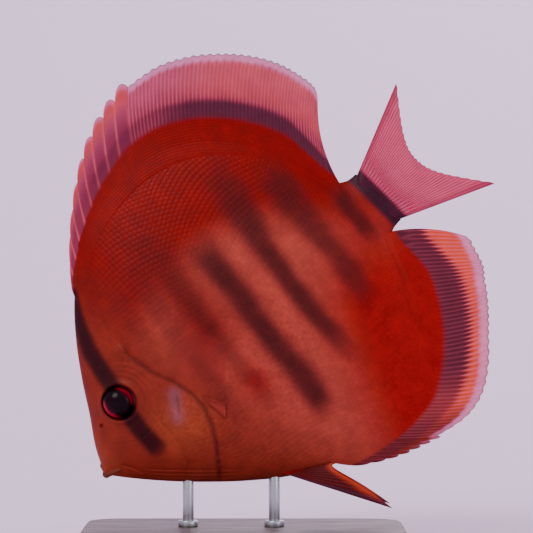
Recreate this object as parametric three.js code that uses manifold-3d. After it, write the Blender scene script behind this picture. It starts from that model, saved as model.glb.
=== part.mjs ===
// A barred red discus fish, life size, as a museum model in its head-down pose on a display stand.
//
// The fish is drawn in its own frame: x runs from the snout to the tail, z up to the back and y out of the
// right flank, with the snout near the origin. The fish group is then pitched nose down over the stand.
// Units are millimetres.

import * as THREE from "three";
import { mergeVertices } from "three/addons/utils/BufferGeometryUtils.js";
import Module from "manifold-3d";

// Driving sizes of the fish
const STANDARD_LENGTH = 140; // snout to the root of the tail fin
const PITCH = THREE.MathUtils.degToRad(45); // nose down
const GAP = 0.3; // between pieces that touch
const FIRST_STATION = 1; // the loft starts just behind the lips

// Edge of the body without its fins, as [x, z] along the back and along the belly
const BACK = [
  [1, 3], [4, 8.8], [10.5, 18.2], [17.6, 29.2], [26.3, 41], [35.8, 51.4], [46, 59.8], [58, 66],
  [70, 69.2], [82, 70], [94, 67.8], [105, 62.2], [114, 54], [121, 44.3], [125.8, 34.3], [128.7, 25.4],
  [130.8, 18.4], [133.6, 13.8], [137, 12.2], [STANDARD_LENGTH + 1, 11.9],
];
const BELLY = [
  [1, -2.8], [4.5, -7.4], [14, -18.6], [24, -29], [34, -38.4], [46, -48], [58, -55.2], [70, -59.8],
  [82, -61.6], [94, -60], [105, -54.8], [114, -47.2], [121, -38.4], [126, -29.4], [129.2, -21.4],
  [131.4, -15.6], [134.2, -12], [137, -11.2], [STANDARD_LENGTH + 1, -11],
];
// Half of the body's thickness along its length, thickest behind the gill covers
const HALF_THICKNESS = [
  [1, 3], [5, 5.2], [11, 7.6], [19, 9.9], [29, 12.2], [41, 13.4], [55, 13.2], [75, 11.6], [95, 9.2],
  [112, 6.9], [125, 5.3], [133, 4.2], [STANDARD_LENGTH + 1, 3.1],
];
const LENS = 0.45; // how far the section thins towards the back, as on a lens
const BELLY_LENS = 0.2; // the throat and breast stay rounder
const RING_POINTS = 32;
const RING_STEP = 5.4; // between rings, measured along the back
const BACK_REACH = 204; // length of the back, from the lips to the tail fin
const PAST_FLANK = 30; // from the middle plane to a place clear of either flank

// Eye, nostril and mouth
const EYE = { x: 22, z: 14, radius: 6.1, depth: 4.6, sunk: 2.9, rim: 0.55 };
const NOSTRIL = { x: 11.4, z: 12.4, radius: 0.85, rim: 0.4, depth: 1.5 };
const MOUTH = {
  front: 0.7, level: 0.5, reach: 6.2, drop: 3.5, halfWidth: 4.1, lipFront: 1.5, lipCorner: 0.75,
};

// Back of the head: the slit that runs from the nape round the gill cover to the throat
const HEAD_BACK = [
  [38.8, 62], [36.8, 40], [36.3, 23], [38.4, 12.5], [41.4, 5], [42.8, -2.5], [42.2, -9], [39.8, -15],
  [35.5, -21.5], [30, -28], [24.5, -34], [19, -41],
];
const TAIL_ROOT_X = 132.2; // slit between the trunk and the tail stalk
const TAIL_SLIT_REACH = 40; // past the stalk, above and below
// Gill cover: its front and lower edges; the slit above trims it at the back
const GILL_COVER = [
  [46, 12], [36.5, 13.6], [30.5, 9.5], [28.4, 1], [27.6, -9], [25.4, -18], [21.5, -24.5], [25.5, -29.5],
  [36, -27], [46, -15],
];
const GILL_COVER_PROUD = 0.45;
const GILL_COVER_THICKNESS = 1.8;

// Fins: how thick the membrane is, and how far a spine, a ray and the scaled sheath stand out from its middle
const MEMBRANE = 0.27;
const SPINE_RIDGE = 0.42;
const RAY_RIDGE = 0.2;
const RIDGE_TAPER = 0.75; // share of a ridge's height that is lost by its tip
const ROOT_SUNK = 3; // the root runs on into the body before it is cut to the body's skin

// Each row: place of a ray's root as x along the body's edge, its length, its lean from the body's axis in
// degrees, and how many degrees it curves back on the way to its tip
const DORSAL = {
  edge: "back",
  from: 37,
  to: 133.4,
  split: 86,
  spines: 10,
  softRays: 30,
  sheath: 9,
  rootHalf: 1.6,
  sway: 1.1,
  rays: [
    [37, 2.6, 66, 4], [44, 8.2, 62, 6], [52, 14.4, 58, 8], [62, 21, 56, 8], [73, 25.6, 54, 8],
    [86, 28.6, 52, 8], [100, 30.8, 48, 8], [113, 31.6, 44, 8], [123, 32.4, 43, 9], [129, 32.6, 47, 12],
    [133.4, 30.6, 60, 17],
  ],
};
const ANAL = {
  edge: "belly",
  from: 61,
  to: 134.6,
  split: 79,
  spines: 8,
  softRays: 28,
  sheath: 7,
  rootHalf: 1.5,
  sway: -0.9,
  rays: [
    [61, 7, 52, 4], [68, 14.6, 46, 6], [79, 20.2, 43, 8], [91, 25, 43, 8], [101, 25.4, 41, 9],
    [113, 24.8, 33, 8], [124, 26, 36, 6], [129, 28.2, 42, 0], [132, 28, 44, -6], [134.6, 23.6, 47, -12],
  ],
};
const SWAY_WAVE = 11; // length over which a fin's sway runs from side to side
const LOBE_HEIGHT = 0.13; // how far the membrane rises past the line of the spines' tips, as a share
const CAUDAL = {
  rays: 11, spreadUp: 22, spreadDown: 24.5, middle: 18.4, lobe: 17, hollow: 2.2, rootHalf: 2.7, sway: 2.4,
};
const PECTORAL = {
  rays: 12, low: [46.6, -15], high: [44.6, -8.6], leanLow: 45, leanHigh: 92, length: 29.6, shortLow: 0.86,
  shortHigh: 0.74, longestAt: 0.3, flare: 19, rootHalf: 1.1,
};
const PELVIC = {
  rays: 6, x: 45, y: 2.2, rise: 2, root: 5, longest: 42, shortest: 13, lean: -62, fan: 30, splay: 11,
  rootHalf: 1.1,
};

// Stand: a flat base and two short rods up to the throat and the breast
const STAND = {
  length: 116, width: 66, height: 8, corner: 12, bevel: 1, clear: 16, rodRadius: 2, rodX: [-20, 11],
  rodInto: 14,
};
const BALANCE_X = 50; // the point over the middle of the base, from the snout

const rad = THREE.MathUtils.degToRad;
const clamp = THREE.MathUtils.clamp;

const wasm = await Module();
wasm.setup();

// Smooth curve through [x, value, ...] rows that never overshoots a row: gives one column at any x.
function through(rows, column = 1) {
  const slope = rows.slice(1).map((r, i) => (r[column] - rows[i][column]) / (r[0] - rows[i][0]));
  const tangent = rows.map((_, i) => {
    if (i === 0) return slope[0];
    if (i === slope.length) return slope[i - 1];
    if (slope[i - 1] * slope[i] <= 0) return 0;
    return (2 * slope[i - 1] * slope[i]) / (slope[i - 1] + slope[i]);
  });
  return (x) => {
    const at = clamp(x, rows[0][0], rows[rows.length - 1][0]);
    let i = 0;
    while (i < slope.length - 1 && at > rows[i + 1][0]) i++;
    const span = rows[i + 1][0] - rows[i][0];
    const u = (at - rows[i][0]) / span;
    const low = (1 + 2 * u) * (1 - u) ** 2 * rows[i][column] + u * (1 - u) ** 2 * span * tangent[i];
    const high = u * u * (3 - 2 * u) * rows[i + 1][column] + u * u * (u - 1) * span * tangent[i + 1];
    return low + high;
  };
}

const back = through(BACK);
const belly = through(BELLY);
const halfThickness = through(HALF_THICKNESS);

// Body section

// How far the flank stands out from the middle plane at a height from -1 at the belly to 1 at the back.
function sectionHalf(x, height) {
  const rounder = THREE.MathUtils.smoothstep(x, 45, 85);
  const lens = height > 0 ? LENS : BELLY_LENS + (LENS - BELLY_LENS) * rounder;
  const h2 = Math.min(1, height * height);
  return halfThickness(x) * Math.sqrt(1 - h2) * (1 - lens * h2);
}

// The same at a point of the side view.
function flank(x, z) {
  const middle = (back(x) + belly(x)) / 2;
  return sectionHalf(x, clamp((2 * (z - middle)) / (back(x) - belly(x)), -1, 1));
}

// Points at equal steps along an edge of the body, as {x, z}, from one x to another.
function edgeWalk(edge, from, to, steps) {
  const fine = 600;
  const points = Array.from({ length: fine + 1 }, (_, i) => {
    const x = from + ((to - from) * i) / fine;
    return new THREE.Vector2(x, edge(x));
  });
  const reach = [0];
  points.slice(1).forEach((p, i) => reach.push(reach[i] + p.distanceTo(points[i])));
  let i = 0;
  return Array.from({ length: steps + 1 }, (_, k) => {
    const wanted = (reach[fine] * k) / steps;
    while (i < fine - 1 && reach[i + 1] < wanted) i++;
    const u = (wanted - reach[i]) / (reach[i + 1] - reach[i]);
    return points[i].clone().lerp(points[i + 1], u);
  });
}

// Closed surfaces

function geometryFrom(points, faces) {
  const geometry = new THREE.BufferGeometry();
  const places = points.flatMap((p) => [p.x, p.y, p.z]);
  geometry.setAttribute("position", new THREE.Float32BufferAttribute(places, 3));
  geometry.setIndex(faces.flat());
  return geometry;
}

// Skin over rings of equal counts, with a fan over each end.
function loft(rings) {
  const count = rings[0].length;
  const points = rings.flat();
  const faces = [];
  for (let r = 0; r + 1 < rings.length; r++)
    for (let k = 0; k < count; k++) {
      const [a, b] = [r * count + k, r * count + ((k + 1) % count)];
      faces.push([a, b, b + count], [a, b + count, a + count]);
    }
  for (const [r, turned] of [[0, true], [rings.length - 1, false]]) {
    const middle = rings[r].reduce((sum, p) => sum.add(p), new THREE.Vector3()).divideScalar(count);
    const hub = points.push(middle) - 1;
    for (let k = 0; k < count; k++) {
      const [a, b] = [r * count + k, r * count + ((k + 1) % count)];
      faces.push(turned ? [hub, b, a] : [hub, a, b]);
    }
  }
  return geometryFrom(points, faces);
}

// Thin blade: a grid of middle points and the half thickness to each side of them.
function blade(columns, rows, middle, half) {
  const points = [];
  for (const side of [-1, 1])
    for (let c = 0; c < columns; c++)
      for (let r = 0; r < rows; r++) points.push(middle(c, r).clone().addScaledVector(half(c, r), side));
  const face = columns * rows;
  const at = (c, r) => c * rows + r;
  const faces = [];
  for (let c = 0; c + 1 < columns; c++)
    for (let r = 0; r + 1 < rows; r++) {
      const [p, q, s, t] = [at(c, r), at(c + 1, r), at(c + 1, r + 1), at(c, r + 1)];
      faces.push([p, q, s], [p, s, t], [face + p, face + s, face + q], [face + p, face + t, face + s]);
    }
  const rim = (p, q) => faces.push([q, p, face + p], [q, face + p, face + q]);
  for (let c = 0; c + 1 < columns; c++) {
    rim(at(c, 0), at(c + 1, 0));
    rim(at(c + 1, rows - 1), at(c, rows - 1));
  }
  for (let r = 0; r + 1 < rows; r++) {
    rim(at(0, r + 1), at(0, r));
    rim(at(columns - 1, r), at(columns - 1, r + 1));
  }
  return geometryFrom(points, faces);
}

// Tube of varying radius along a path, with its rings square to the path.
function tube(path, radius, steps, sides) {
  const curve = new THREE.CatmullRomCurve3(path);
  const frames = curve.computeFrenetFrames(steps, false);
  return loft(
    Array.from({ length: steps + 1 }, (_, i) =>
      Array.from({ length: sides }, (_, k) => {
        const turn = (2 * Math.PI * k) / sides;
        return curve
          .getPointAt(i / steps)
          .addScaledVector(frames.normals[i], radius(i / steps) * Math.cos(turn))
          .addScaledVector(frames.binormals[i], radius(i / steps) * Math.sin(turn));
      }),
    ),
  );
}

// Outline of the side view, as [x, z] points, carried right through the fish.
function throughFlanks(outline) {
  const shape = new THREE.Shape(outline.map(([x, z]) => new THREE.Vector2(x, z)));
  return new THREE.ExtrudeGeometry(shape, { depth: 2 * PAST_FLANK, bevelEnabled: false })
    .rotateX(Math.PI / 2)
    .translate(0, PAST_FLANK, 0);
}

// Joining and cutting

function solid(geometry) {
  const bare = geometry.clone().deleteAttribute("normal").deleteAttribute("uv");
  const merged = mergeVertices(bare, 1e-4);
  const vertProperties = merged.attributes.position.array;
  const triVerts = new Uint32Array(merged.index.array);
  const made = new wasm.Manifold(new wasm.Mesh({ numProp: 3, vertProperties, triVerts }));
  if (made.volume() > 0) return made;
  triVerts.reverse();
  return new wasm.Manifold(new wasm.Mesh({ numProp: 3, vertProperties, triVerts }));
}

function largest(cut) {
  return cut.decompose().reduce((most, piece) => (piece.volume() > most.volume() ? piece : most));
}

function geometryOf(cut) {
  const mesh = cut.getMesh();
  const geometry = new THREE.BufferGeometry();
  geometry.setAttribute("position", new THREE.BufferAttribute(new Float32Array(mesh.vertProperties), 3));
  geometry.setIndex(new THREE.BufferAttribute(new Uint32Array(mesh.triVerts), 1));
  return geometry;
}

// The same piece on the other flank.
function mirrored(cut) {
  return solid(geometryOf(cut).scale(1, -1, 1));
}

// Body

function ring(x, grow) {
  const [top, bottom] = [back(x) + grow, belly(x) - grow];
  return Array.from({ length: RING_POINTS }, (_, k) => {
    const turn = (2 * Math.PI * k) / RING_POINTS;
    const height = Math.cos(turn);
    const out = sectionHalf(x, height) + grow * Math.abs(Math.sin(turn));
    const level = (top + bottom) / 2 + ((top - bottom) / 2) * height;
    return new THREE.Vector3(x, -Math.sign(Math.sin(turn)) * out, level);
  });
}

function bodyGeometry(grow = 0) {
  const walk = edgeWalk(back, FIRST_STATION, STANDARD_LENGTH, Math.round(BACK_REACH / RING_STEP));
  const rings = walk.map(({ x }) => ring(x, grow));
  rings[0].forEach((p) => (p.x -= grow));
  rings[rings.length - 1].forEach((p) => (p.x += grow));
  return loft(rings);
}

const body = solid(bodyGeometry());
const bodyGrown = solid(bodyGeometry(GAP));

// Slit of the width of the gap along a line of the side view.
function slit(line) {
  const curve = new THREE.SplineCurve(line.map(([x, z]) => new THREE.Vector2(x, z)));
  const points = curve.getPoints(3 * line.length);
  const side = (sign) =>
    points.map((p, i) => {
      const [before, after] = [Math.max(i - 1, 0), Math.min(i + 1, points.length - 1)];
      const along = points[after].clone().sub(points[before]).normalize();
      return [p.x - (sign * along.y * GAP) / 2, p.y + (sign * along.x * GAP) / 2];
    });
  return solid(throughFlanks([...side(1), ...side(-1).reverse()]));
}

const headSlit = slit(HEAD_BACK);
const tailSlit = slit([TAIL_SLIT_REACH, 0, -TAIL_SLIT_REACH].map((z) => [TAIL_ROOT_X, z]));
const [headPiece, trunkPiece, stalkPiece] = body
  .subtract(headSlit)
  .subtract(tailSlit)
  .decompose()
  .sort((a, b) => a.boundingBox().min[0] - b.boundingBox().min[0]);

// Gill covers: a plate laid in a shallow bed on each side of the head, a little proud of the flank

function grownOutline(outline, grow) {
  const curve = new THREE.SplineCurve([...outline, outline[0]].map(([x, z]) => new THREE.Vector2(x, z)));
  const points = curve.getPoints(3 * outline.length).slice(0, -1);
  return points.map((p, i) => {
    const along = points[(i + 1) % points.length].clone().sub(points.at(i - 1)).normalize();
    return [p.x - along.y * grow, p.y + along.x * grow];
  });
}

const coverArea = solid(throughFlanks(grownOutline(GILL_COVER, 0)));
const bedArea = solid(throughFlanks(grownOutline(GILL_COVER, -GAP)));
const coverInside = GILL_COVER_PROUD - GILL_COVER_THICKNESS;
const coverShell = solid(bodyGeometry(GILL_COVER_PROUD)).subtract(solid(bodyGeometry(coverInside)));
const gillBed = bedArea.subtract(solid(bodyGeometry(coverInside - GAP)));

function gillCover(side) {
  const clearOfMiddle = 2;
  const box = new THREE.BoxGeometry(2 * STANDARD_LENGTH, PAST_FLANK, 2 * STANDARD_LENGTH);
  const half = solid(box.translate(0, side * (PAST_FLANK / 2 + clearOfMiddle), 0));
  const pieces = coverShell.intersect(coverArea).intersect(half).subtract(headSlit).decompose();
  return pieces.sort((a, b) => a.boundingBox().min[0] - b.boundingBox().min[0])[0];
}

// Mouth

// Lip from one corner of the mouth round the front to the other, above or below the line of the mouth.
function lip(above, grow = 0) {
  const [stations, steps, sides] = [8, 14, 8];
  const tilt = Math.atan2(MOUTH.drop, MOUTH.reach);
  const radius = (u) => THREE.MathUtils.lerp(MOUTH.lipFront, MOUTH.lipCorner, Math.abs(2 * u - 1) ** 1.5);
  const path = Array.from({ length: stations + 1 }, (_, i) => {
    const s = (2 * i) / stations - 1;
    const rise = above * (radius(i / stations) + GAP / 2);
    return new THREE.Vector3(
      MOUTH.front + MOUTH.reach * s * s + rise * Math.sin(tilt),
      MOUTH.halfWidth * s * (1.3 - 0.3 * s * s),
      MOUTH.level - MOUTH.drop * s * s + rise * Math.cos(tilt),
    );
  });
  return tube(path, (u) => radius(u) + grow, steps, sides);
}

// Head

function atFlank(place, side, sunk = 0) {
  return new THREE.Vector3(place.x, side * (flank(place.x, place.z) - sunk), place.z);
}

function eyeGeometry(grow = 0) {
  return new THREE.SphereGeometry(1, 18, 9)
    .rotateX(Math.PI / 2)
    .scale(EYE.radius + grow, EYE.depth + grow, EYE.radius + grow);
}

// Ring laid on the flank, turned with the face as it narrows towards the snout.
function ringOnFlank(place, radius, tubeRadius, side, around) {
  const faceTurn = rad(-9);
  return new THREE.TorusGeometry(radius, tubeRadius, 5, around)
    .rotateX(Math.PI / 2)
    .rotateZ(side * faceTurn)
    .translate(...atFlank(place, side, tubeRadius * 0.4).toArray());
}

function headSolid() {
  let head = headPiece;
  for (const side of [-1, 1]) {
    const eyeAt = atFlank(EYE, side, EYE.sunk).toArray();
    head = head
      .add(solid(ringOnFlank(EYE, EYE.radius + EYE.rim, EYE.rim, side, 20)))
      .add(solid(ringOnFlank(NOSTRIL, NOSTRIL.radius + NOSTRIL.rim * 0.5, NOSTRIL.rim, side, 10)))
      .subtract(solid(eyeGeometry(GAP).translate(...eyeAt)))
      .subtract(
        solid(
          new THREE.CylinderGeometry(NOSTRIL.radius, NOSTRIL.radius * 0.5, 2 * NOSTRIL.depth, 10)
            .rotateX((side * Math.PI) / 2)
            .translate(...atFlank(NOSTRIL, side).toArray()),
        ),
      );
  }
  head = head.subtract(gillBed);
  for (const above of [1, -1]) head = head.subtract(solid(lip(above, GAP)));
  return largest(head);
}

// Fins of the back and the belly

// Columns of a fin, each the place of a ray's root from 0 to 1 and the ridge there: 1 on a spine or ray.
function spineColumns(count) {
  const columns = [];
  const shoulder = 0.11;
  for (let i = 0; i < count; i++) {
    columns.push({ at: i, ridge: 1, lobe: 0 });
    if (i + 1 < count)
      for (const share of [shoulder, 0.4, 0.72, 1 - shoulder])
        columns.push({ at: i + share, ridge: 0, lobe: Math.sin(Math.PI * share ** 0.75) ** 0.8 });
  }
  return columns.map((c) => ({ ...c, at: c.at / (count - 1) }));
}

function rayColumns(count) {
  const last = 2 * count - 2;
  return Array.from({ length: last + 1 }, (_, i) => ({ at: i / last, ridge: (i + 1) % 2, lobe: 0 }));
}

// Rows of the grid from the root to the rim, as shares of the ray's length
const EDGE_ROWS = [0, 0.15, 0.35, 0.6, 0.83, 1];
const CAUDAL_ROWS = [0, 0.12, 0.3, 0.53, 0.77, 1];
const PAIRED_ROWS = [0, 0.14, 0.4, 0.7, 1];
const WALK_STEPS = 12; // straight steps that a curved ray is drawn with
const ROOT_STEPS = 200; // equal steps along the body's edge that the roots are picked from

// Fin that stands on the body's edge between two places, cut to the body's skin at its root.
function edgeFin(fin, from, to, columns, ridgeHeight) {
  const up = fin.edge === "back" ? 1 : -1;
  const edge = fin.edge === "back" ? back : belly;
  const [length, lean, curl] = [1, 2, 3].map((column) => through(fin.rays, column));
  const roots = edgeWalk(edge, from, to, ROOT_STEPS);
  const rootOf = ({ at }) => roots[Math.round(at * ROOT_STEPS)];
  const points = columns.map((column) => {
    const root = rootOf(column);
    const heading = (share) => {
      const angle = rad(lean(root.x) + curl(root.x) * (1 - 2 * share)) * up;
      return new THREE.Vector2(Math.cos(angle), Math.sin(angle));
    };
    const step = (length(root.x) * (1 + LOBE_HEIGHT * column.lobe)) / WALK_STEPS;
    const walk = [root.clone()];
    for (let i = 0; i < WALK_STEPS; i++)
      walk.push(walk[i].clone().addScaledVector(heading(i / WALK_STEPS), step));
    return EDGE_ROWS.map((share, row) => {
      if (row === 0) return root.clone().addScaledVector(heading(0), -ROOT_SUNK);
      const place = share * WALK_STEPS;
      const i = Math.min(WALK_STEPS - 1, Math.floor(place));
      return walk[i].clone().lerp(walk[i + 1], place - i);
    });
  });
  const finLength = (c) => length(rootOf(columns[c]).x);
  const middle = (c, r) => {
    const sway = fin.sway * EDGE_ROWS[r] ** 2 * Math.sin(points[c][0].x / SWAY_WAVE);
    return new THREE.Vector3(points[c][r].x, sway, points[c][r].y);
  };
  const half = (c, r) => {
    const out = EDGE_ROWS[r] * finLength(c);
    const sheath = Math.max(0, 1 - out / fin.sheath) ** 1.4 * (fin.rootHalf - MEMBRANE);
    const ridge = columns[c].ridge * ridgeHeight * (1 - RIDGE_TAPER * EDGE_ROWS[r]);
    return new THREE.Vector3(0, MEMBRANE + sheath + ridge, 0);
  };
  return largest(solid(blade(columns.length, EDGE_ROWS.length, middle, half)).subtract(bodyGrown));
}

// Lobe of the tail fin, fanned from the end of the tail stalk; the trailing edge is hollow between the lobes.
function caudalLobe(from, to) {
  const columns = rayColumns(CAUDAL.rays).map((c) => ({ ...c, at: THREE.MathUtils.lerp(from, to, c.at) }));
  const [top, bottom] = [back(STANDARD_LENGTH), belly(STANDARD_LENGTH)];
  const middle = (c, r) => {
    const w = 1 - 2 * columns[c].at;
    const lean = rad(w > 0 ? w * CAUDAL.spreadUp : w * CAUDAL.spreadDown);
    const length = CAUDAL.middle + CAUDAL.lobe * Math.abs(w) ** CAUDAL.hollow;
    const out = CAUDAL_ROWS[r] * length;
    const root = bottom + (top - bottom) * (1 - columns[c].at);
    const sway = CAUDAL.sway * CAUDAL_ROWS[r] ** 2 * (0.7 * w - 0.4);
    return new THREE.Vector3(STANDARD_LENGTH + GAP + out * Math.cos(lean), sway, root + out * Math.sin(lean));
  };
  const half = (c, r) => {
    const w = 1 - 2 * columns[c].at;
    const rim = Math.sqrt(Math.max(0, 1 - w ** 4));
    const sheath = (1 - CAUDAL_ROWS[r]) ** 6 * (CAUDAL.rootHalf * rim - MEMBRANE);
    const ridge = columns[c].ridge * RAY_RIDGE * Math.min(1, 6 * CAUDAL_ROWS[r]) * (1 - 0.6 * CAUDAL_ROWS[r]);
    return new THREE.Vector3(0, Math.max(MEMBRANE, MEMBRANE + sheath) + ridge, 0);
  };
  return solid(blade(columns.length, CAUDAL_ROWS.length, middle, half));
}

// Fan of rays from a short root line, for the paired fins: each ray has its root, direction and length.
function pairedFin(rays, rootHalf, outward) {
  const middle = (c, r) => {
    const ray = rays[c];
    const out = PAIRED_ROWS[r] * ray.length - (r === 0 ? ROOT_SUNK : 0);
    return ray.root.clone().addScaledVector(ray.direction, out);
  };
  const half = (c, r) => {
    const sheath = Math.max(0, 1 - 2.6 * PAIRED_ROWS[r]) ** 1.5 * (rootHalf - MEMBRANE);
    const ridge = rays[c].ridge * RAY_RIDGE * (1 - 0.7 * PAIRED_ROWS[r]);
    return outward.clone().multiplyScalar(MEMBRANE + sheath + ridge);
  };
  return solid(blade(rays.length, PAIRED_ROWS.length, middle, half));
}

// Way a ray points: its lean in the side view, and how far it stands off the flank.
function rayWay(lean, off, side) {
  const level = Math.cos(off);
  return new THREE.Vector3(Math.cos(lean) * level, side * Math.sin(off), Math.sin(lean) * level);
}

function pectoralFin(side) {
  const flare = rad(PECTORAL.flare);
  const rays = rayColumns(PECTORAL.rays).map(({ at, ridge }) => {
    const lean = rad(THREE.MathUtils.lerp(PECTORAL.leanLow, PECTORAL.leanHigh, at));
    const x = THREE.MathUtils.lerp(PECTORAL.low[0], PECTORAL.high[0], at);
    const z = THREE.MathUtils.lerp(PECTORAL.low[1], PECTORAL.high[1], at);
    const peak = PECTORAL.longestAt;
    const [short, reach] = at < peak ? [PECTORAL.shortLow, peak] : [PECTORAL.shortHigh, 1 - peak];
    const round = 1 - (1 - short) * ((at - peak) / reach) ** 2;
    return {
      ridge,
      root: new THREE.Vector3(x, side * flank(x, z), z),
      direction: rayWay(lean, flare, side),
      length: PECTORAL.length * round,
    };
  });
  const outward = new THREE.Vector3(-Math.sin(flare) * 0.38, side * Math.cos(flare), -Math.sin(flare) * 0.92);
  return largest(pairedFin(rays, PECTORAL.rootHalf, outward.normalize()).subtract(bodyGrown));
}

function pelvicFin(side) {
  const splay = rad(PELVIC.splay);
  const rays = rayColumns(PELVIC.rays).map(({ at, ridge }) => {
    const lean = rad(PELVIC.lean + PELVIC.fan * at);
    const along = PELVIC.x + PELVIC.root * at;
    return {
      ridge,
      root: new THREE.Vector3(along, side * PELVIC.y, belly(along) + PELVIC.rise),
      direction: rayWay(lean, splay, side),
      length: PELVIC.shortest + (PELVIC.longest - PELVIC.shortest) * (1 - at) ** 2.4,
    };
  });
  const outward = new THREE.Vector3(0.1, side, 0.2).normalize();
  return largest(pairedFin(rays, PELVIC.rootHalf, outward).subtract(bodyGrown));
}

// Materials

function finish(color, roughness, metalness = 0) {
  return new THREE.MeshStandardMaterial({ color, roughness, metalness });
}

const SKIN = finish(0xa01410, 0.45);
const FACE = finish(0x96331c, 0.45);
const LIP = finish(0x9c4a30, 0.5);
const FIN = finish(0xb8506e, 0.5);
const EYEBALL = finish(0x5c0a16, 0.15);
const BASE = finish(0x3a2418, 0.5);
const STEEL = finish(0xb8bcc0, 0.3, 1);

const part = new THREE.Group();
const fish = new THREE.Group();
part.add(fish);

function node(parent, name, shape, material) {
  const mesh = new THREE.Mesh(shape.isBufferGeometry ? shape : geometryOf(shape), material);
  mesh.name = name;
  parent.add(mesh);
  return mesh;
}

// The fish

node(fish, "head", headSolid(), FACE);
node(fish, "upper_lip", lip(1), LIP);
node(fish, "lower_lip", lip(-1), LIP);
node(fish, "trunk", largest(trunkPiece), SKIN);
node(fish, "tail_stalk", largest(stalkPiece), SKIN);
for (const [name, shape, material] of [
  ["gill_cover", gillCover(-1), FACE], ["pectoral_fin", pectoralFin(-1), FIN],
  ["pelvic_fin", pelvicFin(-1), FIN],
]) {
  node(fish, `${name}_left`, shape, material);
  node(fish, `${name}_right`, mirrored(shape), material);
}
for (const [side, name] of [[-1, "left"], [1, "right"]])
  node(fish, `eye_${name}`, eyeGeometry(), EYEBALL).position.copy(atFlank(EYE, side, EYE.sunk));
for (const [name, fin] of [["dorsal_fin", DORSAL], ["anal_fin", ANAL]]) {
  const spiny = edgeFin(fin, fin.from, fin.split - GAP, spineColumns(fin.spines), SPINE_RIDGE);
  const soft = edgeFin(fin, fin.split + GAP, fin.to, rayColumns(fin.softRays), RAY_RIDGE);
  node(fish, `${name}_spiny`, spiny, FIN);
  node(fish, `${name}_soft`, soft, FIN);
}
const parting = GAP / 2 / (back(STANDARD_LENGTH) - belly(STANDARD_LENGTH));
node(fish, "tail_fin_upper", caudalLobe(0, 0.5 - parting), FIN);
node(fish, "tail_fin_lower", caudalLobe(0.5 + parting, 1), FIN);

// Pose: nose down, over the middle of the base

const breastEnd = 60;
const lowest = Math.min(...Array.from({ length: breastEnd }, (_, x) => (x + belly(x)) * Math.SQRT1_2));
fish.rotation.y = -PITCH;
fish.position.set(-BALANCE_X, 0, STAND.height + STAND.clear - lowest);
part.updateMatrixWorld(true);

// The stand

function standBase() {
  const [x, y, c] = [STAND.length / 2 - STAND.bevel, STAND.width / 2 - STAND.bevel, STAND.corner];
  const shape = new THREE.Shape();
  shape.moveTo(-x + c, -y);
  shape.lineTo(x - c, -y);
  shape.absarc(x - c, -y + c, c, -Math.PI / 2, 0);
  shape.lineTo(x, y - c);
  shape.absarc(x - c, y - c, c, 0, Math.PI / 2);
  shape.lineTo(-x + c, y);
  shape.absarc(-x + c, y - c, c, Math.PI / 2, Math.PI);
  shape.lineTo(-x, -y + c);
  shape.absarc(-x + c, -y + c, c, Math.PI, 1.5 * Math.PI);
  return new THREE.ExtrudeGeometry(shape, {
    depth: STAND.height - 2 * STAND.bevel,
    bevelThickness: STAND.bevel,
    bevelSize: STAND.bevel,
    bevelSegments: 1,
    curveSegments: 4,
  }).translate(0, 0, STAND.bevel);
}

function standRod(x) {
  const foot = STAND.height + GAP;
  const length = STAND.clear + STAND.rodInto;
  const rod = solid(
    new THREE.CylinderGeometry(STAND.rodRadius, STAND.rodRadius, length, 20)
      .rotateX(Math.PI / 2)
      .translate(x, 0, foot + length / 2),
  );
  return largest(rod.subtract(solid(bodyGeometry(GAP).applyMatrix4(fish.matrixWorld))));
}

node(part, "stand_base", standBase(), BASE);
STAND.rodX.forEach((x, i) => node(part, `stand_rod_${i ? "rear" : "front"}`, standRod(x), STEEL));

export default part;
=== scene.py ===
# %% [markdown]
# # A red barred discus fish, dressed over its solids
# The solids already have the fish's size and pose. This lesson gives it skin, scales, fins and eyes.
# Every shape is worked out in the fish's own frame, in millimetres: x runs from the snout to the tail,
# z up to the back, and y out of the right flank. One function turns that frame into the world.

# %% Load the frame
import math
import bmesh
import bpy
import numpy as np
from mathutils import Euler, Matrix, Vector


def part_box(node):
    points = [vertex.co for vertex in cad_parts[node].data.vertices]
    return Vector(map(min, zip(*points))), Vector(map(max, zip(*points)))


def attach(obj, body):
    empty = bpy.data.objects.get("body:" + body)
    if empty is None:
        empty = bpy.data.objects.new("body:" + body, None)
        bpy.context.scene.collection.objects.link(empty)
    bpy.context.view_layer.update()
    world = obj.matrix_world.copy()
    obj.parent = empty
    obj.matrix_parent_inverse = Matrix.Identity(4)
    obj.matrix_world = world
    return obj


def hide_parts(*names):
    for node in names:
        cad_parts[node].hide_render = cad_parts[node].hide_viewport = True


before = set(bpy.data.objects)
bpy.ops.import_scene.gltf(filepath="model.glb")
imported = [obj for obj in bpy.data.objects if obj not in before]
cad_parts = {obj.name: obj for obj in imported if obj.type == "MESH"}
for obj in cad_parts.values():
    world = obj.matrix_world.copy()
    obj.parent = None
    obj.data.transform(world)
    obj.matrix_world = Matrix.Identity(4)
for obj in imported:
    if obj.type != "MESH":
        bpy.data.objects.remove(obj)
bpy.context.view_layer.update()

rng = np.random.default_rng(7)

# %% [markdown]
# ## The fish's frame
# The fish is pitched nose down by 45 degrees. Where it hangs over its stand is read from the eye's solid,
# so the skin can't drift away from the solids when the stand changes.

# %% From the fish to the world
PITCH = math.radians(45)
EYE_X, EYE_Z, EYE_RADIUS = 22.0, 14.0, 6.1
MM = 0.001

tilt = Euler((0, -PITCH, 0)).to_matrix()
eye_low, eye_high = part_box("eye_left")
eye_middle = (Vector(eye_low) + Vector(eye_high)) / 2 / MM
origin = eye_middle - tilt @ Vector((EYE_X, 0, EYE_Z))
origin.y = 0


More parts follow.
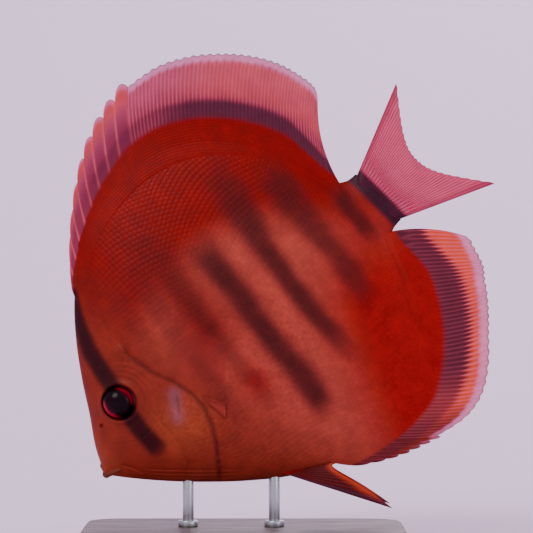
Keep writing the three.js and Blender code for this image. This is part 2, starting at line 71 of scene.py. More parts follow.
def to_world(points):
    return (points @ np.array(tilt).T + np.array(origin)) * MM


print("the fish's origin hangs at", [round(c, 2) for c in origin])

# %% [markdown]
# ## The body's lines
# Three smooth curves describe the body: its back, its belly and half its thickness. Between them each
# cross-section is a lens. These are the same values as in the solids.

# %% Curves through a few points
BACK = [
    (1, 3), (4, 8.8), (10.5, 18.2), (17.6, 29.2), (26.3, 41), (35.8, 51.4), (46, 59.8), (58, 66), (70, 69.2),
    (82, 70), (94, 67.8), (105, 62.2), (114, 54), (121, 44.3), (125.8, 34.3), (128.7, 25.4), (130.8, 18.4),
    (133.6, 13.8), (137, 12.2), (141, 11.9),
]
BELLY = [
    (1, -2.8), (4.5, -7.4), (14, -18.6), (24, -29), (34, -38.4), (46, -48), (58, -55.2), (70, -59.8),
    (82, -61.6), (94, -60), (105, -54.8), (114, -47.2), (121, -38.4), (126, -29.4), (129.2, -21.4),
    (131.4, -15.6), (134.2, -12), (137, -11.2), (141, -11),
]
HALF_THICKNESS = [
    (1, 3), (5, 5.2), (11, 7.6), (19, 9.9), (29, 12.2), (41, 13.4), (55, 13.2), (75, 11.6), (95, 9.2),
    (112, 6.9), (125, 5.3), (133, 4.2), (141, 3.1),
]
LENS, BELLY_LENS = 0.45, 0.2
STANDARD_LENGTH = 140


def through(rows, column=1):
    """A smooth curve through rows of (x, value, ...) that never overshoots a row."""
    at = np.array([row[0] for row in rows], float)
    value = np.array([row[column] for row in rows], float)
    step = np.diff(at)
    slope = np.diff(value) / step
    tangent = np.zeros(len(at))
    tangent[0], tangent[-1] = slope[0], slope[-1]
    before, after = slope[:-1], slope[1:]
    same_way = before * after > 0
    tangent[1:-1][same_way] = (2 * before * after)[same_way] / (before + after)[same_way]

    def curve(x):
        x = np.clip(x, at[0], at[-1])
        i = np.clip(np.searchsorted(at, x, side="right") - 1, 0, len(step) - 1)
        u = (x - at[i]) / step[i]
        rise = (1 + 2 * u) * (1 - u) ** 2 * value[i] + u * u * (3 - 2 * u) * value[i + 1]
        return rise + step[i] * (u * (1 - u) ** 2 * tangent[i] + u * u * (u - 1) * tangent[i + 1])

    return curve


back, belly, half_thickness = through(BACK), through(BELLY), through(HALF_THICKNESS)


def smooth(low, high, value):
    t = np.clip((value - low) / (high - low), 0, 1)
    return t * t * (3 - 2 * t)


def section_half(x, height):
    """Half the thickness at a height from -1 at the belly to 1 at the back."""
    lens = np.where(height > 0, LENS, BELLY_LENS + (LENS - BELLY_LENS) * smooth(45, 85, x))
    square = np.clip(height**2, 0, 1)
    return half_thickness(x) * np.sqrt(1 - square) * (1 - lens * square)


def span(x):
    """Height of the body's middle line, and half the body's depth."""
    return (back(x) + belly(x)) / 2, (back(x) - belly(x)) / 2


def flank(x, z):
    middle, reach = span(x)
    return section_half(x, np.clip((z - middle) / reach, -1, 1))


def edge_walk(edge, start, end):
    """Place on an edge of the body by the share of its length between two stations."""
    x = np.linspace(start, end, 900)
    z = edge(x)
    reach = np.concatenate([[0], np.cumsum(np.hypot(np.diff(x), np.diff(z)))])
    return lambda share: np.interp(share * reach[-1], reach, x)


depth, thickness = back(80.0) - belly(80.0), 2 * half_thickness(45.0)
print("deepest:", round(float(depth), 1), "mm; thickest:", round(float(thickness), 1), "mm")

# %% [markdown]
# ## Folds of the head
# A fish's face is bone under thin skin, so its folds are crisp: the edge of the gill cover, the crease of the
# cheek bone, the rings behind the eye, the nostril and the folds of the throat. Each is a distance to a line
# or a point, which is easier to move than a carved fold.

# %% Relief over the plain section
GILL_EDGE = [
    (37, 33), (36.3, 23), (38.4, 12.5), (41.4, 5), (42.8, -2.5), (42.2, -9), (39.8, -15), (35.5, -21.5),
    (30, -28), (24.5, -34), (19, -41),
]
CHEEK_CREASE = [(30.5, 11.5), (28.4, 4), (27.8, -4), (26.6, -12), (23.6, -19), (18, -23.5), (12, -20)]
COVER_STREAK = [(38.4, 2.4), (35.6, -1.2), (33.2, -4.4)]
MOUTH_FOLD = [(6.9, -3.0), (8.8, -6.2), (9.8, -9.5)]
NOSTRIL = (11.4, 12.4)
EYE_GAP, SOCKET_DEPTH = 0.1, 4.2
WRINKLES, FIRST_WRINKLE, WRINKLE_STEP = 4, 9.4, 1.8
THROAT_FOLDS, FIRST_FOLD, FOLD_STEP = 3, 2.5, 2.1


def distance_to(line, x, z):
    """Distance to a line of points, and the side: positive on the snout's side of a line drawn down."""
    best = np.full(np.shape(x), 1e9)
    side = np.ones(np.shape(x))
    for (ax, az), (bx, bz) in zip(line, line[1:]):
        dx, dz = bx - ax, bz - az
        t = np.clip(((x - ax) * dx + (z - az) * dz) / (dx * dx + dz * dz), 0, 1)
        far = np.hypot(x - ax - t * dx, z - az - t * dz)
        nearer = far < best
        best = np.where(nearer, far, best)
        side = np.where(nearer, np.sign(dz * (x - ax) - dx * (z - az)), side)
    return best, side


def bell(value, width):
    return np.exp(-((value / width) ** 2))


def behind_eye(x, z):
    """How far a place lies behind the eye, across the slant of its wrinkles."""
    return x - EYE_X - 0.6 * (z - EYE_Z)


def relief(x, z):
    """How far the skin stands out from the plain section, in millimetres."""
    from_eye = np.hypot(x - EYE_X, z - EYE_Z)
    out = 0.7 * bell(from_eye, 11) + 0.5 * bell(from_eye - EYE_RADIUS - 0.9, 0.8)
    out -= SOCKET_DEPTH * smooth(EYE_RADIUS + 0.5, EYE_RADIUS - 0.5, from_eye)
    behind = smooth(-0.6, 0.5, behind_eye(x, z) / np.maximum(from_eye, 1))
    for ring in range(WRINKLES):
        out -= 0.22 * behind * bell(from_eye - FIRST_WRINKLE - WRINKLE_STEP * ring, 0.34)
    gap, side = distance_to(GILL_EDGE, x, z)
    cover = np.where(side > 0, 0.75 * np.exp(-gap / 7), -0.35 * bell(gap, 1.2))
    out += smooth(31, 24, z) * cover
    out -= 0.4 * bell(distance_to(CHEEK_CREASE, x, z)[0], 0.55)
    nostril = np.hypot(x - NOSTRIL[0], z - NOSTRIL[1])
    out += 0.4 * bell(nostril - 1.25, 0.45) - 1.3 * bell(nostril, 0.75)
    out -= 0.35 * bell(distance_to(MOUTH_FOLD, x, z)[0], 0.5)
    throat = smooth(10, 14, x) * smooth(36, 30, x)
    for fold in range(THROAT_FOLDS):
        out -= 0.28 * throat * bell(z - belly(x) - FIRST_FOLD - FOLD_STEP * fold, 0.45)
    return out


print("relief at the gill cover's edge:", round(float(relief(np.array(42.0), np.array(-3.0))), 2), "mm")

# %% [markdown]
# ## The markings
# The colour is a function of the place on the fish, so the skin, the scales and the fins' roots can all ask
# it and always agree. Nine dark bars cross a brick-red flank; the shoulder, the back and the rear of the
# belly are a purer red, and the face turns to orange brown.

# %% Colours and bars


def srgb(red, green, blue):
    """A screen colour from 0 to 255 as the linear numbers that a shader takes."""
    part = np.array([red, green, blue]) / 255
    return np.where(part <= 0.04045, part / 12.92, ((part + 0.055) / 1.055) ** 2.4)


PIGMENT_DEPTH = 0.42


def pigment(red, green, blue):
    """A colour as it looks on the lit fish, made darker because the studio's light is strong."""
    return srgb(red, green, blue) * PIGMENT_DEPTH


BRICK = pigment(222, 84, 68)
DEEP_RED = pigment(172, 0, 0)
DARK_RED = pigment(142, 4, 4)
REAR_RED = pigment(196, 2, 2)
FACE_BROWN = pigment(172, 56, 36)
CHEEK = pigment(216, 92, 52)
BAR = pigment(84, 14, 20)
EYE_BAR = pigment(62, 4, 14)
TAIL_BAR = pigment(66, 24, 48)
LILAC_STREAK_AND_SHEEN = pigment(176, 128, 150)

# Each bar: where it crosses the middle, its lean as x per z above and below it, its half width, how much
# wider its top is, its upper and lower ends, its strength, and the softness of its ends
BARS = [
    (40.5, 0.16, 0.16, 2.6, 0.4, 44, 14, 0.25, 10),
    (51.5, 0.13, 0.13, 2.8, 0.4, 46, -20, 0.3, 12),
    (63.0, 0.12, 0.12, 3.0, 0.4, 40, -24, 0.36, 10),
    (77.8, 0.115, 0.125, 4.6, 0.25, 33, -40, 0.9, 6),
    (94.7, 0.2, 0.05, 3.8, 0.7, 48, -29, 0.86, 11),
    (114.7, 0.08, 0.16, 4.4, 0.6, 36, -22, 0.72, 9),
    (129.0, 0.10, 0.10, 3.1, 0.3, 13, -8, 0.8, 6),
]
EYE_BAR_LINE = [
    (37.2, 54.0), (31.1, 43.8), (27.3, 34.9), (25.6, 27), (24.3, 20), (21.6, 8), (20.4, 1), (20.2, -7),
]


def mix(one, other, share):
    return one + (other - one) * np.asarray(share)[..., None]


def bar_shade(x, z):
    shade = np.zeros(np.shape(x))
    wobble = 0.35 * np.sin(z / 6.7 + x / 9) + 0.15 * np.sin(z / 2.9 + x / 3)
    for cross, lean_up, lean_down, half, flare, top, low, strength, soft in BARS:
        run = smooth(top + soft, top - soft, z) * smooth(low - soft, low + soft, z)
        wide = half * (1.08 + flare * smooth(0, 40, z))
        off = np.abs(x - cross - np.where(z > 0, lean_up, lean_down) * z + wobble) / wide
        faded = strength * (1 - 0.35 * smooth(22, 46, z))
        shade = np.maximum(shade, faded * run * np.exp(-(off**3.2)))
    return shade


def body_tint(x, z):
    """The skin's colour at a place in side view, laid on in layers over the brick red."""
    from_middle = np.hypot((x - 74) / 50, (z + 3) / 40)
    speckle = 0.5 + 0.5 * np.sin(x * 1.9 + 1.3 * np.sin(z * 0.7)) * np.sin(z * 1.6 + 1.1 * np.sin(x * 0.8))
    streak = smooth(0.55, 1.0, speckle) * smooth(0.8, 0.3, np.hypot((x - 62) / 60, (z + 10) / 42))
    eye_bar = distance_to(EYE_BAR_LINE, x, z)[0] / (2.2 + 1.3 * smooth(54, 28, z))
    cover, before = distance_to(COVER_STREAK, x, z)
    gill = distance_to(GILL_EDGE, x, z)[0]
    rim = np.hypot(x - EYE_X, z - EYE_Z)
    wrinkle_shade = bell(rim - FIRST_WRINKLE, 0.35) + bell(rim - FIRST_WRINKLE - WRINKLE_STEP, 0.35)
    tint = BRICK
    for colour, share in (
        (DEEP_RED, smooth(0.72, 1.12, from_middle) * smooth(-30, 18, z)),  # back
        (REAR_RED, smooth(84, 112, x - 0.45 * z - 8) * smooth(10, -24, z)),  # rear of the belly
        (FACE_BROWN, smooth(64, 36, x + 0.2 * z) * 0.9),
        (DARK_RED, 0.85 * bell(x - 61 - 0.14 * z, 9.5) * smooth(-8, 10, z) * smooth(64, 44, z)),  # shoulder
        (DARK_RED, 0.5 * bell(np.hypot(x - 43, z - 49), 9)),  # nape
        (CHEEK, 0.7 * smooth(14, 2, np.hypot((x - 33) / 1.3, (z + 7) / 1.2))),
        (DEEP_RED, 0.28 * streak),
        (REAR_RED, 0.75 * bell(np.hypot(x - 62, (z + 15) / 1.3), 4.5)),  # patch behind the pectoral fin
        (BAR, bar_shade(x, z)),
        (EYE_BAR, 0.96 * np.exp(-(eye_bar**5)) * smooth(-14, -5, z)),
        (TAIL_BAR, 0.96 * smooth(134.6, 137.4, x)),
        # partly the fish's own lilac streak, partly a painted sheen of the shiny cells in the gill cover
        (LILAC_STREAK_AND_SHEEN, 0.42 * bell(cover, 2.3)),  # streak on the gill cover
        (EYE_BAR, 0.45 * bell(cover * before + 0.8, 0.45) * smooth(-5, -2, z) * smooth(3, 0, z)),
        # painted shade: a dark line along the gill cover's edge, where the cover stands over the flank
        (BAR, 0.55 * bell(gill, 0.8) * smooth(30, 20, z)),
        # painted shade: a dark ring round the eye, where the skin meets the eyeball
        (EYE_BAR, 0.5 * bell(rim - EYE_RADIUS, 0.6)),
        # painted shade in the first two wrinkles behind the eye
        (EYE_BAR, 0.22 * wrinkle_shade * smooth(-4, 4, behind_eye(x, z))),
        (CHEEK, 0.4 * smooth(9, 3, x)),  # lips
    ):
        tint = mix(tint, colour, share)
    return tint


print("bars:", len(BARS) + 2)

# %% [markdown]
# ## One way to make a closed shell
# A grid made by bmesh is bent round until its edges meet, and the doubles along the seam and at the poles are
# merged. The body, the lips and the fins are all made this way, each by its own rule for where a point of
# the grid goes.

# %% Shells from grids


def add_shell(bm, across, along, place, tint):
    """Bends a new grid by place(u, v) and colours it by tint(u, v, points), both in the fish's frame."""
    layer = bm.verts.layers.float_color.get("markings") or bm.verts.layers.float_color.new("markings")
    verts = bmesh.ops.create_grid(bm, x_segments=across, y_segments=along, size=0.5)["verts"]
    flat = np.array([v.co[:2] for v in verts]) + 0.5
    points = place(flat[:, 0], flat[:, 1])
    colours = tint(flat[:, 0], flat[:, 1], points)
    if colours.shape[1] == 3:
        colours = np.column_stack([colours, np.ones(len(colours))])
    for vert, co, colour in zip(verts, to_world(points), colours):
        vert.co = co
        vert[layer] = colour
    bmesh.ops.remove_doubles(bm, verts=verts, dist=2e-6)


def new_object(name, data):
    made = bpy.data.objects.new(name, data)
    bpy.context.scene.collection.objects.link(made)
    return made


def make_piece(name, bm, material, slot, *nodes):
    """Turns a bmesh into a piece of the object that rides with the fish."""
    bmesh.ops.recalc_face_normals(bm, faces=bm.faces)
    mesh = bpy.data.meshes.new(name)
    bm.to_mesh(mesh)
    bm.free()
    for polygon in mesh.polygons:
        polygon.use_smooth = True
    piece = new_object(name, mesh)
    mesh.materials.append(material)
    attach(piece, "root")
    if nodes:
        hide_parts(*nodes)
    print(name, len(mesh.polygons), "faces")


# %% [markdown]
# ## Finishes
# The markings come as a colour attribute. The shader adds what is too fine for vertices: cloudy pigment,
# grain and a wet film. Live skin is slightly translucent, so a little light scatters under it.

# %% Skin, scale and fin materials


def new_material(name):
    material = bpy.data.materials.new(name)
    material.use_nodes = True
    nodes = material.node_tree.nodes
    return material, nodes, nodes["Principled BSDF"]


def feed(node, **inputs):
    """Links sockets to a node's inputs and sets constants on them. An underscore stands for a space."""
    for name, value in inputs.items():
        socket = node.inputs[name.replace("_", " ")]
        if isinstance(value, bpy.types.NodeSocket):
            node.id_data.links.new(value, socket)
        else:
            socket.default_value = value
    return node


def add(nodes, kind, **inputs):
    return feed(nodes.new("ShaderNode" + kind), **inputs)


def noise(nodes, place, scale, detail=4.0):
    return add(nodes, "TexNoise", Vector=place, Scale=scale, Detail=detail).outputs["Fac"]


def spread(nodes, source, low, high):
    """Maps a noise from its usual range to low..high."""
    node = add(nodes, "MapRange", Value=source, From_Min=0.3, From_Max=0.7, To_Min=low, To_Max=high)
    return node.outputs["Result"]


CLOUD_SCALE, GRAIN_SCALE = 170, 1500


def painted(name, cloud, roughness, coat, scatter, grain, lift, clear=False):
    """A material on the markings: cloudy pigment, a grain of bumps and a wet coat."""
    material, nodes, shader = new_material(name)
    markings = add(nodes, "VertexColor")
    markings.layer_name = "markings"
    place = add(nodes, "TexCoord").outputs["Object"]
    value = spread(nodes, noise(nodes, place, CLOUD_SCALE), 1 - cloud, 1 + cloud)
    shade = add(nodes, "HueSaturation", Color=markings.outputs["Color"], Value=value)
    fine = noise(nodes, place, GRAIN_SCALE, 2.0)
    bump = add(nodes, "Bump", Height=fine, Strength=lift, Distance=grain * MM)
    feed(
        shader, Base_Color=shade.outputs["Color"], Normal=bump.outputs["Normal"],
        Roughness=spread(nodes, fine, roughness - 0.07, roughness + 0.09), Coat_Weight=coat,
        Coat_Roughness=0.25, Specular_IOR_Level=0.08, Subsurface_Weight=scatter,
        Subsurface_Radius=(0.004, 0.001, 0.0006), Subsurface_Scale=0.4,
    )
    if clear:
        feed(shader, Alpha=markings.outputs["Alpha"])
    return material


skin_material = painted(
    "discus_skin", cloud=0.16, roughness=0.5, coat=0.04, scatter=0.08, grain=0.12, lift=0.4
)
scale_material = painted(
    "discus_scales", cloud=0.14, roughness=0.48, coat=0.03, scatter=0.05, grain=0.05, lift=0.3
)
fin_material = painted(
    "discus_fins", cloud=0.1, roughness=0.48, coat=0.02, scatter=0.0, grain=0.05, lift=0.3, clear=True
)
print("painted materials:", skin_material.name, scale_material.name, fin_material.name)

# %% [markdown]
# ## The skin
# One mesh runs from the lips to the root of the tail, so no seam of the solids shows. Each ring of the grid
# is a cross-section; more rings fall on the head, where the folds are.

# %% Body skin
SNOUT_ROUND, TAIL_ROUND = 1.4, 0.8
SNOUT_SHARE, TAIL_SHARE = 0.02, 0.995
SKIN_AROUND, SKIN_ALONG = 240, 300
body_station = edge_walk(back, 1, STANDARD_LENGTH)


def heights(u):
    """Height on the section, from the back down the left flank and up the right one."""
    turn = np.where(u < 0.5, u, 1 - u) * 2
    return 0.6 * np.cos(np.pi * turn) + 0.4 * (1 - 2 * turn)


def body_place(u, v):
    side = np.where(u < 0.5, -1.0, 1.0)
    snout, tail = np.clip(v / SNOUT_SHARE, 0, 1), np.clip((v - TAIL_SHARE) / (1 - TAIL_SHARE), 0, 1)
    share = np.clip((v - SNOUT_SHARE) / (TAIL_SHARE - SNOUT_SHARE), 0, 1) ** 1.3
    x = body_station(share)
    shrink = np.sin(snout * np.pi / 2) * np.cos(tail * np.pi / 2)
    height = heights(u)
    middle, reach = span(x)
    z = middle + reach * height * shrink
    folds = relief(x, middle + reach * height) * smooth(1.0, 0.93, np.abs(height)) * smooth(1, 3, x)
    y = side * (section_half(x, height) + folds) * shrink
    ahead = SNOUT_ROUND * np.cos(snout * np.pi / 2) - TAIL_ROUND * np.sin(tail * np.pi / 2)
    y = np.where((u == 0) | (u == 0.5) | (u == 1), 0, y)
    return np.column_stack([x - ahead, y, z])


def body_paint(u, v, points):
    return body_tint(points[:, 0], points[:, 2])


skin_bm = bmesh.new()
add_shell(skin_bm, SKIN_AROUND, SKIN_ALONG, body_place, body_paint)
print("skin vertices:", len(skin_bm.verts))

# %% [markdown]
# ## The lips
# A discus has a small mouth with full lips that run back and down at its corners. Each lip is a tube that
# thins towards the corner, half sunk into the face, in the same mesh as the skin.

# %% Lips
MOUTH_FRONT, MOUTH_LEVEL, MOUTH_REACH, MOUTH_DROP, MOUTH_HALF = 0.7, 0.5, 6.2, 3.5, 4.1
LIP_FRONT, LIP_CORNER, LIP_GAP = 1.5, 0.75, 0.2
LIP_TINT = pigment(150, 66, 48)


def lip_place(above):
    tip = math.atan2(MOUTH_DROP, MOUTH_REACH)

    def place(u, v):
        s = 2 * v - 1
        full = LIP_FRONT + (LIP_CORNER - LIP_FRONT) * np.abs(s) ** 1.5
        radius = full * np.sqrt(np.clip(1 - np.abs(s) ** 14, 0, 1))
        rise = above * (full + LIP_GAP / 2)
        turn = 2 * np.pi * u
        along = 1.3 - 0.3 * s * s
        middle = MOUTH_FRONT + MOUTH_REACH * s * s + rise * math.sin(tip)
        x = middle - radius * np.cos(turn) * (1 - 0.6 * s * s)
        y = MOUTH_HALF * s * along + radius * np.cos(turn) * 0.8 * s
        z = MOUTH_LEVEL - MOUTH_DROP * s * s + rise * math.cos(tip) + radius * np.sin(turn)
        return np.column_stack([x, y, z])

    return place


def lip_paint(u, v, points):
    # painted shade: the lips darken towards the line where they meet
    return mix(np.tile(LIP_TINT, (len(u), 1)), EYE_BAR, 0.35 * bell(points[:, 2] - MOUTH_LEVEL, 0.7))


for above in (1, -1):
    add_shell(skin_bm, 20, 48, lip_place(above), lip_paint)
make_piece(
    "skin", skin_bm, skin_material, "skin", "head", "trunk", "tail_stalk", "upper_lip", "lower_lip",
    "gill_cover_left", "gill_cover_right",
)

# %% [markdown]
# ## The scales
# Discus scales are small and lie flat. One scale is a disc with a sloping rim and a raised middle. It is
# repeated along cross-sections of the flank, each row shifted by half a scale as tiles are, and joined into
# one mesh a side. The scales are smallest on the face and at the edges.

# %% One scale
SCALE_SIDES = 8


def scale_template():
    bm = bmesh.new()
    bmesh.ops.create_circle(bm, cap_ends=True, segments=SCALE_SIDES, radius=1.0)
    bmesh.ops.inset_individual(bm, faces=bm.faces[:], thickness=0.3, depth=0.06, use_even_offset=True)
    middle = min(bm.faces, key=lambda face: face.calc_center_median().length)
    bmesh.ops.poke(bm, faces=[middle], offset=0.04)
    bm.verts.index_update()
    bmesh.ops.recalc_face_normals(bm, faces=bm.faces)
    if sum(face.normal.z for face in bm.faces) < 0:
        bmesh.ops.reverse_faces(bm, faces=bm.faces)
    corners = np.array([v.co[:] for v in bm.verts])
    faces = [[v.index for v in face.verts] for face in bm.faces]
    bm.free()
    return corners, faces


scale_corners, scale_faces = scale_template()
print("one scale:", len(scale_corners), "vertices,", len(scale_faces), "faces")

# %% Coat of scales
PITCH_FLANK, PITCH_FACE, PITCH_TAIL = 1.95, 0.95, 1.2
FIRST_SCALE_X, LAST_SCALE_X, TOP_SCALE = 13.0, 136, 0.985
ROW_STEP, EDGE_SHRINK, SAMPLES = 0.86, 0.42, 400
SCALE_SHAPE = np.array([0.72, 0.66, 0.6])  # length, width and height over the pitch
SCALE_TILT, SCALE_BED = 0.05, 0.015
PATCH_RADIUS = 0.0015


def pitch_at(x):
    wider, finer = PITCH_FLANK - PITCH_FACE, PITCH_FLANK - PITCH_TAIL
    return PITCH_FACE + wider * smooth(16, 50, x) - finer * smooth(108, 134, x)


def surface(x, height, side):
    middle, reach = span(x)
    z = middle + reach * height
    folds = relief(x, z) * smooth(1.0, 0.93, np.abs(height))
    return np.column_stack([x, side * (section_half(x, height) + folds), z])


def scale_roots():
    """Stations, heights and sizes of the scales of one flank."""
    stations = [FIRST_SCALE_X]
    while stations[-1] < LAST_SCALE_X:
        stations.append(stations[-1] + ROW_STEP * float(pitch_at(np.array(stations[-1]))))
    rows = []
    for row, x in enumerate(stations):
        height = np.linspace(TOP_SCALE, -TOP_SCALE, SAMPLES)
        points = surface(np.full(SAMPLES, x), height, 1)
        shrink = 1 - EDGE_SHRINK * smooth(0.8, TOP_SCALE, np.abs(height))
        size = pitch_at(np.full(SAMPLES, x)) * shrink
        steps = np.hypot(np.diff(points[:, 1]), np.diff(points[:, 2])) / size[:-1]
        count = np.concatenate([[0], np.cumsum(np.minimum(steps, 1.0))])
        at = np.arange(0.25 + 0.5 * (row % 2), count[-1], 1.0)
        rows.append([np.full(len(at), x), np.interp(at, count, height), np.interp(at, count, size)])
    return np.concatenate(rows, axis=1)


def coat(side):
    """The scales of one flank. The face, the eye's surround, the folds and the throat are bare."""
    x, height, size = scale_roots()
    middle, reach = span(x)
    z = middle + reach * height
    gap = distance_to(GILL_EDGE, x, z)[0]
    cheek = distance_to(CHEEK_CREASE, x, z)[0]
    from_eye = np.hypot(x - EYE_X, z - EYE_Z)
    bare = (from_eye < EYE_RADIUS + 2.6) | ((from_eye < 14) & (behind_eye(x, z) > -3))
    bare |= ((gap < 0.9) & (z < 30)) | (cheek < 0.7)
    bare |= (x + 0.35 * np.abs(z - 8) < 21) | ((z - belly(x) < 7.6) & (x < 38))
    x, height, size = x[~bare], height[~bare], size[~bare]
    x = x + rng.uniform(-0.06, 0.06, len(x)) * size
    root = surface(x, height, side)
    tailward = surface(x + 0.4, height, side) - surface(x - 0.4, height, side)
    upward = surface(x, height + 0.01, side) - surface(x, height - 0.01, side)
    patch = np.column_stack([0.02 + 0.96 * x / STANDARD_LENGTH, 0.5 + 0.4 * height])
    return lay_scales(root, tailward, upward, size, side, patch)


def lay_scales(root, tailward, upward, size, side, patch, proud=0.0):
    """Copies the scale to each root, turned to the surface, with its colours and its place for baking."""
    count = len(root)
    tailward = tailward / np.linalg.norm(tailward, axis=1)[:, None]
    outward = np.cross(upward, tailward)
    outward *= np.sign(outward[:, 1] * side)[:, None] / np.linalg.norm(outward, axis=1)[:, None]
    crossways = np.cross(outward, tailward)
    local = scale_corners * SCALE_SHAPE
    rise = local[:, 2] + SCALE_TILT * local[:, 0] - SCALE_BED
    points = (
        root[:, None]
        + size[:, None, None] * local[None, :, :1] * tailward[:, None]
        + size[:, None, None] * local[None, :, 1:2] * crossways[:, None]
        + (size[:, None, None] * rise[None, :, None] + proud) * outward[:, None]
    )
    tint = body_tint(points[:, :, 0], points[:, :, 2]) * rng.uniform(0.94, 1.06, count)[:, None, None]
    # painted shade: each scale's colour is darkened by up to a tenth towards its sloping rim and lifted a
    # little in its middle
    rim = smooth(0.55, 1.0, np.hypot(scale_corners[:, 0], scale_corners[:, 1]))
    shade = 1.03 - 0.1 * rim[None, :, None]
    colours = np.concatenate([tint * shade, np.ones((count, len(scale_corners), 1))], axis=2)
    patch = patch[:, None] + scale_corners[None, :, :2] * PATCH_RADIUS
    return points.reshape(-1, 3), colours.reshape(-1, 4), patch.reshape(-1, 2), count


def coat_piece(name, points, colours, patch, count):
    step = len(scale_corners)
    faces = [[corner + step * i for corner in face] for i in range(count) for face in scale_faces]
    mesh = bpy.data.meshes.new(name)
    mesh.from_pydata(to_world(points), [], faces)
    markings = mesh.attributes.new("markings", "FLOAT_COLOR", "POINT")
    markings.data.foreach_set("color", colours.astype(np.float32).ravel())
    loops = np.empty(len(mesh.loops), dtype=np.int32)
    mesh.loops.foreach_get("vertex_index", loops)
    mesh.uv_layers.new(name="OFBake").data.foreach_set("uv", patch[loops].astype(np.float32).ravel())
    mesh.polygons.foreach_set("use_smooth", np.ones(len(mesh.polygons), dtype=bool))
    piece = new_object(name, mesh)
    mesh.materials.append(scale_material)
    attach(piece, "root")
    print(name, count, "scales,", len(mesh.polygons), "faces")


SIDES = ((-1, "left"), (1, "right"))
for side, name in SIDES:
    coat_piece(f"scales_{name}", *coat(side))

# %% [markdown]
# ## The fins
# A fin is a membrane stretched over rays. The blade is one closed shell: the grid runs out over the left face
# and back over the right, and both faces meet at the rim. Spines and rays are ridges in its own surface. Soft
# rays fork near their root, and the rim is faintly notched between them.

# %% Rays and membranes
MEMBRANE, SPINE_RIDGE, RAY_RIDGE, ROOT_SUNK = 0.17, 0.5, 0.26, 9.0
FIN_GAP, FIN_LAP = 0.3, 0.6
ROOT_SHARE, ROOT_DIP, ROOT_DEPTH = 0.62, 0.35, 5
FAIR_DEPTHS = np.linspace(0.5, 7.5, 29)
# Each ray: the station of its root, its length, and its lean and curl in degrees
DORSAL = dict(
    edge=back, up=1, start=37, end=133.4, split=86, spines=10, soft=30, sheath=9, root_half=1.6, sway=1.1,
    rays=[
        (37, 2.6, 66, 4), (44, 8.2, 62, 6), (52, 14.4, 58, 8), (62, 21, 56, 8), (73, 25.6, 54, 8),
        (86, 28.6, 52, 8), (100, 30.8, 48, 8), (113, 31.6, 44, 8), (123, 32.4, 43, 9), (129, 32.6, 47, 12),
        (133.4, 30.6, 60, 17),
    ],
)
ANAL = dict(
    edge=belly, up=-1, start=61, end=134.6, split=79, spines=8, soft=28, sheath=7, root_half=1.5, sway=-0.9,
    rays=[
        (61, 7, 52, 4), (68, 14.6, 46, 6), (79, 20.2, 43, 8), (91, 25, 43, 8), (101, 25.4, 41, 9),
        (113, 24.8, 33, 8), (124, 26, 36, 6), (129, 28.2, 42, 0), (132, 28, 44, -6), (134.6, 23.6, 47, -12),
    ],
)


def two_faces(w):
    """The grid's width as a place along the fin and the face it is on."""
    return np.where(w <= 0.5, 2 * w, 2 - 2 * w), np.where(w <= 0.5, -1.0, 1.0)


def closed(v, across, sharp):
    """Thins a blade to nothing at its root and its rim, where v is 0 and 1, and at its sides."""
    rim, sides = 1 - v**30, 1 - np.abs(across) ** sharp
    return np.sqrt(np.clip(rim, 0, 1)) * np.sqrt(np.clip(sides, 0, 1)) * (v > 0)


def ray_ridge(phase, s):
    """Height of the ridge of a forking ray, from 0 to 1."""
    off = phase - np.round(phase)
    fork = 0.25 * smooth(0.1, 0.28, s)
    wide = 0.16 - 0.06 * smooth(0.15, 0.5, s)
    return np.maximum(bell(off - fork, wide), bell(off + fork, wide))


def spine_ridge(phase, s):
    off = phase - np.round(phase)
    return bell(off, 0.12 - 0.06 * s)


def fairing(fin):
    """Thickness of a fin at the body's edge, its slope from there down to the flank, and how deep they meet.

    The slope is the one that just touches the flank, so fin and flank run into each other with no crease.
    """
    x = np.linspace(fin["start"], fin["end"], 90)
    flanks = flank(x[:, None], fin["edge"](x)[:, None] - fin["up"] * FAIR_DEPTHS)
    thick = np.minimum(fin["root_half"], ROOT_SHARE * flank(x, fin["edge"](x) - fin["up"] * ROOT_DEPTH))
    slopes = (flanks - thick[:, None]) / FAIR_DEPTHS
    columns = thick, slopes.max(axis=1), FAIR_DEPTHS[slopes.argmax(axis=1)]
    return [lambda at, column=column: np.interp(at, x, column) for column in columns]


